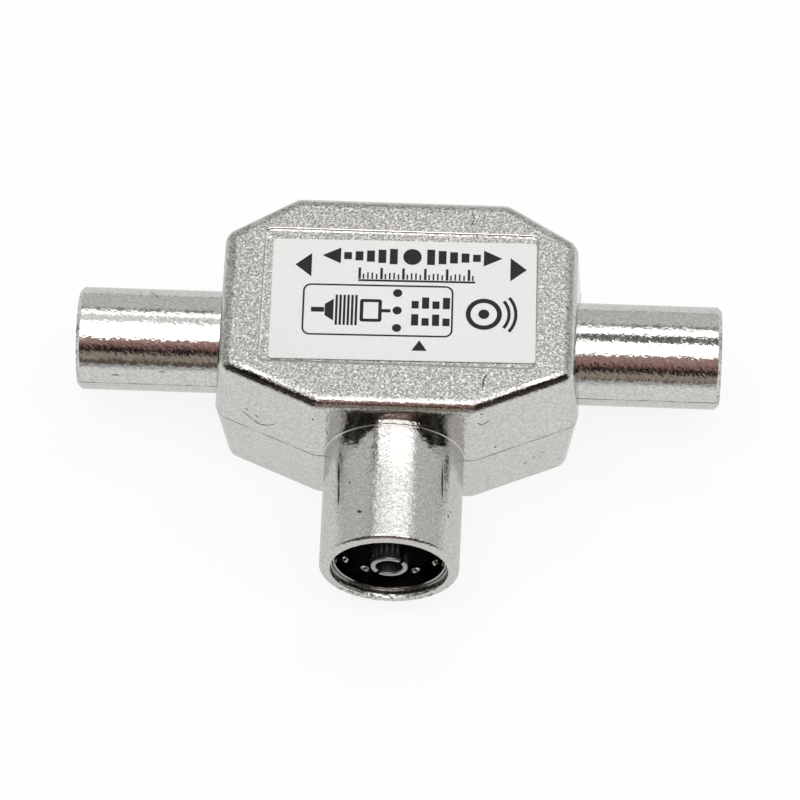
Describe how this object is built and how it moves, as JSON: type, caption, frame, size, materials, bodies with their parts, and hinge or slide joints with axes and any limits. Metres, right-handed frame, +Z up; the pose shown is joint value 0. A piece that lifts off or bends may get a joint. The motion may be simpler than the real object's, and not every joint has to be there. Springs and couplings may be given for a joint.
{
  "type": "coaxial t adapter",
  "caption": "Die-cast coaxial T splitter for aerial leads: eight-sided plated housing, slotted socket in front, a plug barrel at each side, printed label on top.",
  "frame": {"origin": "on the base plane, under the point where the axes of the three ports cross", "axes": "+X runs along the two side barrels to the right, the front socket faces -Y, +Z is up, through the label"},
  "size_m": [0.0594, 0.0348, 0.0172],
  "materials": {
    "plated_casting": "satin nickel plate over an as-cast skin",
    "plated_cover": "satin nickel plate",
    "label_print": "white coated label stock with black print",
    "plated_contact": "bright nickel plate",
    "insulator_plastic": "moulded",
    "board_laminate": "solder resist",
    "ferrite": "sintered",
    "winding_wire": "enamelled",
    "chip_ceramic": "fired ceramic",
    "solder": "bright solder"
  },
  "bodies": {
    "root": {"housing": "plated_casting", "bottom_cover": "plated_cover", "label": "label_print", "in_contact_sleeve": "plated_contact", "in_socket_contact": "plated_contact", "out_left_pin": "plated_contact", "out_right_pin": "plated_contact", "in_insulator": "insulator_plastic", "out_left_insulator": "insulator_plastic", "out_right_insulator": "insulator_plastic", "circuit_board": "board_laminate", "match_core": "ferrite", "split_core": "ferrite", "match_winding": "winding_wire", "split_winding": "winding_wire", "balance_resistor": "chip_ceramic", "input_capacitor": "chip_ceramic", "left_capacitor": "chip_ceramic", "right_capacitor": "chip_ceramic", "in_solder_joint": "solder", "left_solder_joint": "solder", "right_solder_joint": "solder", "ground_joint_front_left": "solder", "ground_joint_front_right": "solder", "ground_joint_rear_left": "solder", "ground_joint_rear_right": "solder"}
  },
  "joints": []
}
